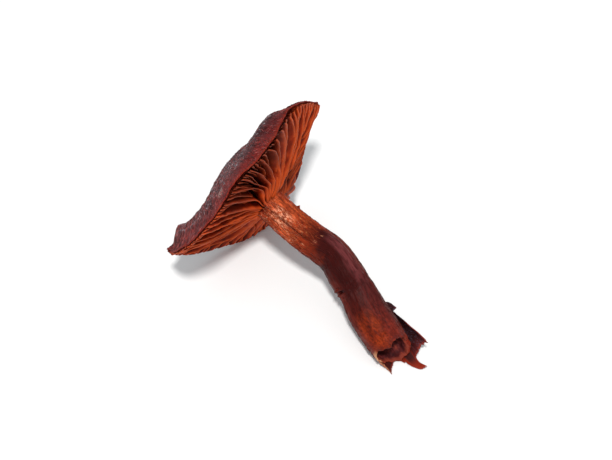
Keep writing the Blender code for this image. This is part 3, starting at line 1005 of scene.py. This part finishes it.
def build_nib(surface):
    """Small hooked tooth where the torn layer leaves the stem."""
    rows, sides = 15, 12
    centre, tangent, side, up = foot_frame()
    place = np.linspace(0.0, 1.0, rows)
    points = []
    for (run, out, rise), width in zip(along(NIB_ROUTE, place), along(NIB_WIDTH, place)):
        middle = centre + tangent * run + side * out + up * rise
        for angle in np.linspace(0.0, TURN, sides, endpoint=False):
            spread = tangent * (0.8 * width) - side * (0.5 * width)
            points.append(middle + spread * math.cos(angle) + up * (0.18 * math.sin(angle)))
    uvs = grid_uvs(rows, sides, True, np.linspace(0.3, 1.0, rows)) * (0.05, 1.0) + (0.93, 0.0)
    make_piece("torn_nib", points, grid_faces(rows, sides, True).tolist(), uvs, surface, "stem", "stem_skin")


# Fibres

def draw_strands(seed, count, begin, turns, lengths, radii, lift, power, end, sideways):
    """Random strands: first coordinate, angle, travel along and round, lift and radius of each."""
    random = np.random.default_rng(seed)
    first = random.uniform(*begin, count) ** power
    angle = random.uniform(*turns, count)
    travel = np.minimum(random.uniform(*lengths, count), end - first)
    drift = random.normal(0.0, sideways, count)
    lifts = random.uniform(0.0, lift, count)
    draws = (first, angle, travel, drift, lifts, random.uniform(*radii, count))
    return [values[:, None] for values in draws]


def build_fibres(name, surface, surface_point, node, slot, **draws):
    """Fine strands that lie along a surface, from the cap's middle outward or down the stem."""
    steps, sides = 6, 3
    first, angle, travel, drift, lifts, radii = draw_strands(**draws)
    count = len(first)
    strand = np.arange(count)[:, None]
    part = np.linspace(0.0, 1.0, steps)
    arch = np.sin(part * math.pi)
    first = first + travel * part
    second = angle + drift * part + 0.35 * np.abs(drift) * noise(part * 2.0, strand * 1.7, 0.0, 71)
    lift = lifts * arch + 0.02
    points = surface_point(first, second, lift)
    normal = unit(surface_point(first, second, lift + 0.1) - points)
    across = unit(np.cross(np.gradient(points, axis=1), normal))
    taper = (radii * (0.25 + 0.75 * arch))[..., None]
    corners = np.arange(sides) * TURN / sides
    tubes = np.stack([points + taper * (normal * math.cos(a) + across * math.sin(a)) for a in corners], 2)
    faces = grid_faces(steps, sides, True) + strand[..., None] * (steps * sides)
    tone = np.repeat(np.arange(count) * 0.6180339 % 1.0, (steps - 1) * sides * 4)
    run = np.tile(np.repeat(np.arange(steps - 1) / (steps - 1), sides * 4), count)
    make_piece(name, tubes.reshape(-1, 3), faces.reshape(-1, 4).tolist(), np.stack((tone, run), -1),
               surface, node, slot)


def build_cap_fibres(name, dark, light, **draws):
    """Strands that run out along the cap's radius."""
    build_fibres(name, strand_surface(name, dark, light), skin_point, "cap", "cap_skin",
                 turns=(0.0, TURN), power=0.6, end=0.995, sideways=0.02, **draws)


def build_stem_fibres(name, dark, light, **draws):
    """Strands that run down along the stem."""
    build_fibres(name, strand_surface(name, dark, light), stem_point, "stem", "stem_skin",
                 power=1.0, end=0.93, sideways=0.05, **draws)


# Floor, light and camera

def build_floor():
    size = FLOOR_HALF_SIZE
    mesh = bpy.data.meshes.new("floor")
    mesh.from_pydata([(-size, -size, 0), (size, -size, 0), (size, size, 0), (-size, size, 0)], [],
                     [(0, 1, 2, 3)])
    s = Surface("floor")
    s.colour = (0.9, 0.9, 0.9, 1.0)
    mesh.materials.append(s.finish(Roughness=0.9, Specular_IOR_Level=0.1))
    new_object("floor", mesh)


def aim(thing, direction, distance):
    """Place a lamp or a camera in a direction from the target, and turn it to look there."""
    direction = Vector(direction).normalized()
    thing.location = CAMERA_TARGET + direction * distance
    thing.rotation_euler = direction.to_track_quat("Z", "Y").to_euler()


def build_light():
    """One soft lamp, a little off straight above."""
    light = bpy.data.lights.new("key", "AREA")
    light.shape = "DISK"
    light.size = LIGHT_SIZE
    light.energy = LIGHT_POWER
    light.color = LIGHT_COLOUR
    aim(new_object("key", light), LIGHT_DIRECTION, LIGHT_DISTANCE)


def build_world():
    world = bpy.data.worlds.new("studio")
    world.use_nodes = True
    background = world.node_tree.nodes["Background"]
    background.inputs["Color"].default_value = WORLD_COLOUR
    background.inputs["Strength"].default_value = WORLD_STRENGTH
    bpy.context.scene.world = world
    bpy.context.scene.view_settings.view_transform = "Standard"


def build_camera():
    data = bpy.data.cameras.new("camera")
    data.lens = CAMERA_LENS
    data.sensor_width = 36.0
    data.clip_start = 0.01
    camera = new_object("camera", data)
    level = math.cos(CAMERA_ELEVATION)
    aim(camera, (math.sin(CAMERA_AZIMUTH) * level, -math.cos(CAMERA_AZIMUTH) * level,
                 math.sin(CAMERA_ELEVATION)), CAMERA_DISTANCE)
    bpy.context.scene.camera = camera


build_cap(cap_surface(), under_surface())
build_gills(gill_surface())
build_stem(stem_surface(), hollow_surface())
torn = layer_surface()
build_skirt(torn)
build_nib(torn)
build_cap_fibres("cap_fibrils", (24, 5, 7), (190, 96, 92), seed=7, count=6500, begin=(0.12, 0.97),
                 lengths=(0.02, 0.06), radii=(0.022, 0.045), lift=0.09)
build_cap_fibres("cap_frost", (96, 74, 82), (214, 196, 200), seed=8, count=4200, begin=(0.05, 0.74),
                 lengths=(0.01, 0.03), radii=(0.02, 0.04), lift=0.06)
build_stem_fibres("top_fibres", (110, 34, 16), (186, 84, 46), seed=11, count=900, begin=(0.1, 0.33),
                  turns=(0.0, TURN), lengths=(0.008, 0.03), radii=(0.016, 0.04), lift=0.05)
build_stem_fibres("middle_fibres", (46, 11, 9), (92, 30, 27), seed=13, count=900, begin=(0.33, 0.92),
                  turns=(0.0, TURN), lengths=(0.012, 0.04), radii=(0.014, 0.035), lift=0.03)
build_stem_fibres("frost_flecks", (206, 104, 64), (252, 204, 168), seed=12, count=600, begin=(0.12, 0.27),
                  turns=(1.6, 3.4), lengths=(0.002, 0.007), radii=(0.0068, 0.017), lift=0.02)
build_floor()
build_world()
build_light()
build_camera()
